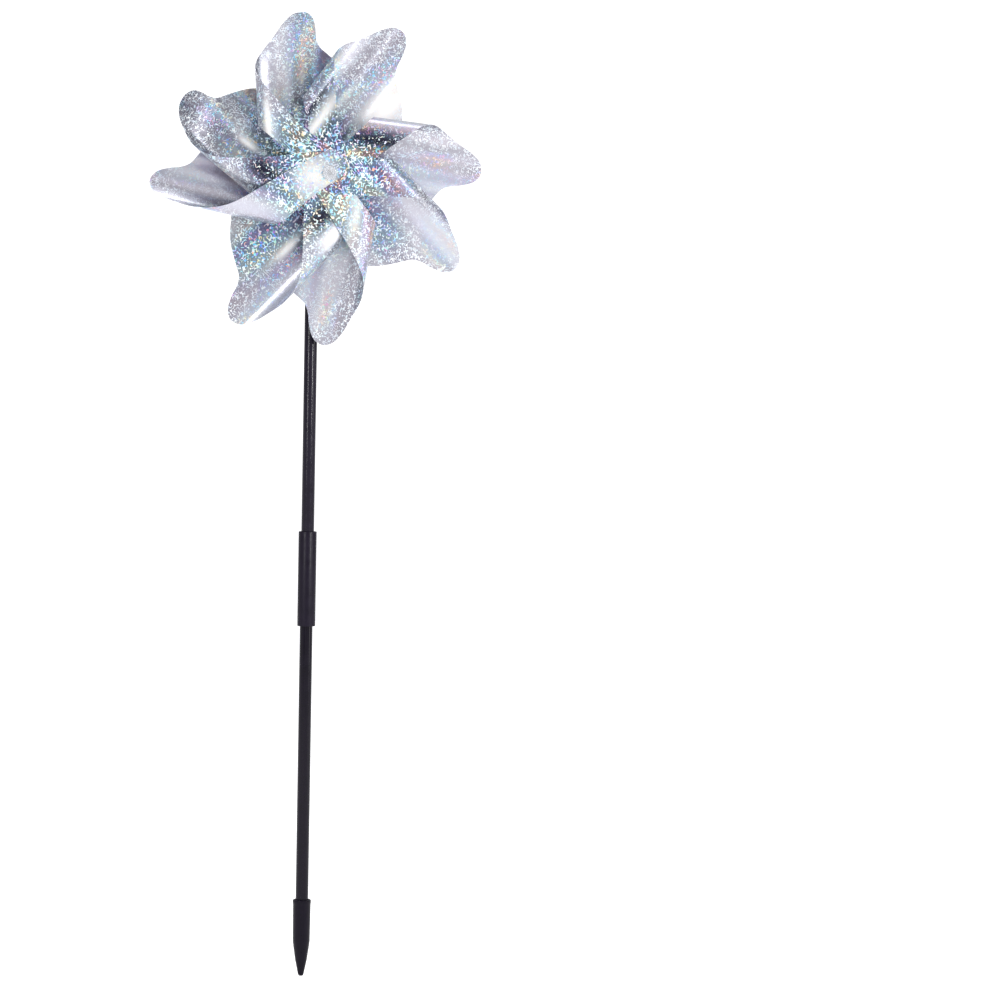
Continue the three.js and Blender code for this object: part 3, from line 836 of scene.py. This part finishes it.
# ---- light ----
# Brightness of the studio by the angle from the wheel's front: 0 behind the camera, 180 behind the wheel
STUDIO_BELTS = [
    (0, 0.65), (10, 0.75), (18, 1.05), (26, 0.85), (34, 0.45), (44, 0.3), (52, 0.55), (60, 1.15), (72, 0.8),
    (82, 0.3), (92, 0.4), (104, 0.7), (140, 0.6), (180, 0.7),
]
STUDIO_BLUE = 1.03
STUDIO_STRENGTH = 1.27
BELT_DRIFT = 60  # degrees by which noise moves the belts, so that they aren't rings


def studio_world():
    """White to the camera; in reflections a grey studio with dark and bright belts about the front."""
    world = bpy.data.worlds.new("studio")
    bpy.context.scene.world = world
    world.use_nodes = True
    n = Nodes(world.node_tree)
    direction = n.add("TexCoord").outputs["Generated"]
    away = n.vector("DOT_PRODUCT", direction, (0, -1, 0))
    angle = n.times(n.math("ARCCOSINE", away), 180 / math.pi)
    drift = n.times(n.minus(n.noise(direction, 1.6, 1.0), 0.5), BELT_DRIFT)
    stops = [(degrees / 180, (value, value, value * STUDIO_BLUE)) for degrees, value in STUDIO_BELTS]
    belts = n.ramp(n.spread(n.plus(angle, drift), 0, 180, smooth=False), stops)
    for_camera = n.add("LightPath").outputs["Is Camera Ray"]
    background = n.tree.nodes["Background"]
    n.put(background.inputs["Color"], n.mix(for_camera, belts, WHITE))
    n.put(background.inputs["Strength"], STUDIO_STRENGTH)


studio_world()


def area_light(name, place, target, size, watts):
    data = bpy.data.lights.new(name, "AREA")
    data.shape = "RECTANGLE"
    data.size, data.size_y = size
    data.energy = watts
    obj = bpy.data.objects.new(name, data)
    obj.location = place
    obj.rotation_euler = (Vector(target) - Vector(place)).to_track_quat("-Z", "Y").to_euler()
    bpy.context.scene.collection.objects.link(obj)
    return obj


area_light("key", (-1.3, -1.2, 1.5), (0, 0, 0.4), (0.5, 1.2), 12)
area_light("fill", (1.5, -1.0, 0.8), (0, 0, 0.35), (0.4, 1.4), 8)
area_light("top", (0.1, 0.2, 1.9), (0, 0, 0.4), (1.2, 0.5), 8)

# Two narrow strips, by azimuth and watts. Only the upper tube and the sleeve mirror them, as upright lines.
STRIPS = [(29.5, 12), (-46.5, 6)]
STRIP_DISTANCE, STRIP_HEIGHT, STRIP_SIZE = 1.2, 0.5, (0.05, 0.5)
strip_receivers = bpy.data.collections.new("lit by the strips")
for name in ("upper_tube", "sleeve_moulding"):
    strip_receivers.objects.link(bpy.data.objects[name])
for azimuth, watts in STRIPS:
    around = math.radians(azimuth)
    place = (STRIP_DISTANCE * math.sin(around), -STRIP_DISTANCE * math.cos(around), STRIP_HEIGHT)
    strip = area_light("strip", place, (0, 0, STRIP_HEIGHT), STRIP_SIZE, watts)
    strip.light_linking.receiver_collection = strip_receivers

# ---- camera ----
CAMERA_DISTANCE, CAMERA_HEIGHT, CAMERA_LENS = 2.2, 0.4, 127.2
CAMERA_AZIMUTH, CAMERA_PAN, CAMERA_PITCH, CAMERA_ROLL = (math.radians(a) for a in (-11.5, 3.11, 2.6, 1.05))
camera_data = bpy.data.cameras.new("camera")
camera_data.lens = CAMERA_LENS
camera = bpy.data.objects.new("camera", camera_data)
camera.location = (
    CAMERA_DISTANCE * math.sin(CAMERA_AZIMUTH), -CAMERA_DISTANCE * math.cos(CAMERA_AZIMUTH), CAMERA_HEIGHT,
)
pan = Matrix.Rotation(CAMERA_AZIMUTH - CAMERA_PAN, 4, "Z")
pitch = Matrix.Rotation(math.pi / 2 - CAMERA_PITCH, 4, "X")
camera.rotation_euler = (pan @ pitch @ Matrix.Rotation(CAMERA_ROLL, 4, "Z")).to_euler()
bpy.context.scene.collection.objects.link(camera)
bpy.context.scene.camera = camera
bpy.context.scene.view_settings.view_transform = "Standard"
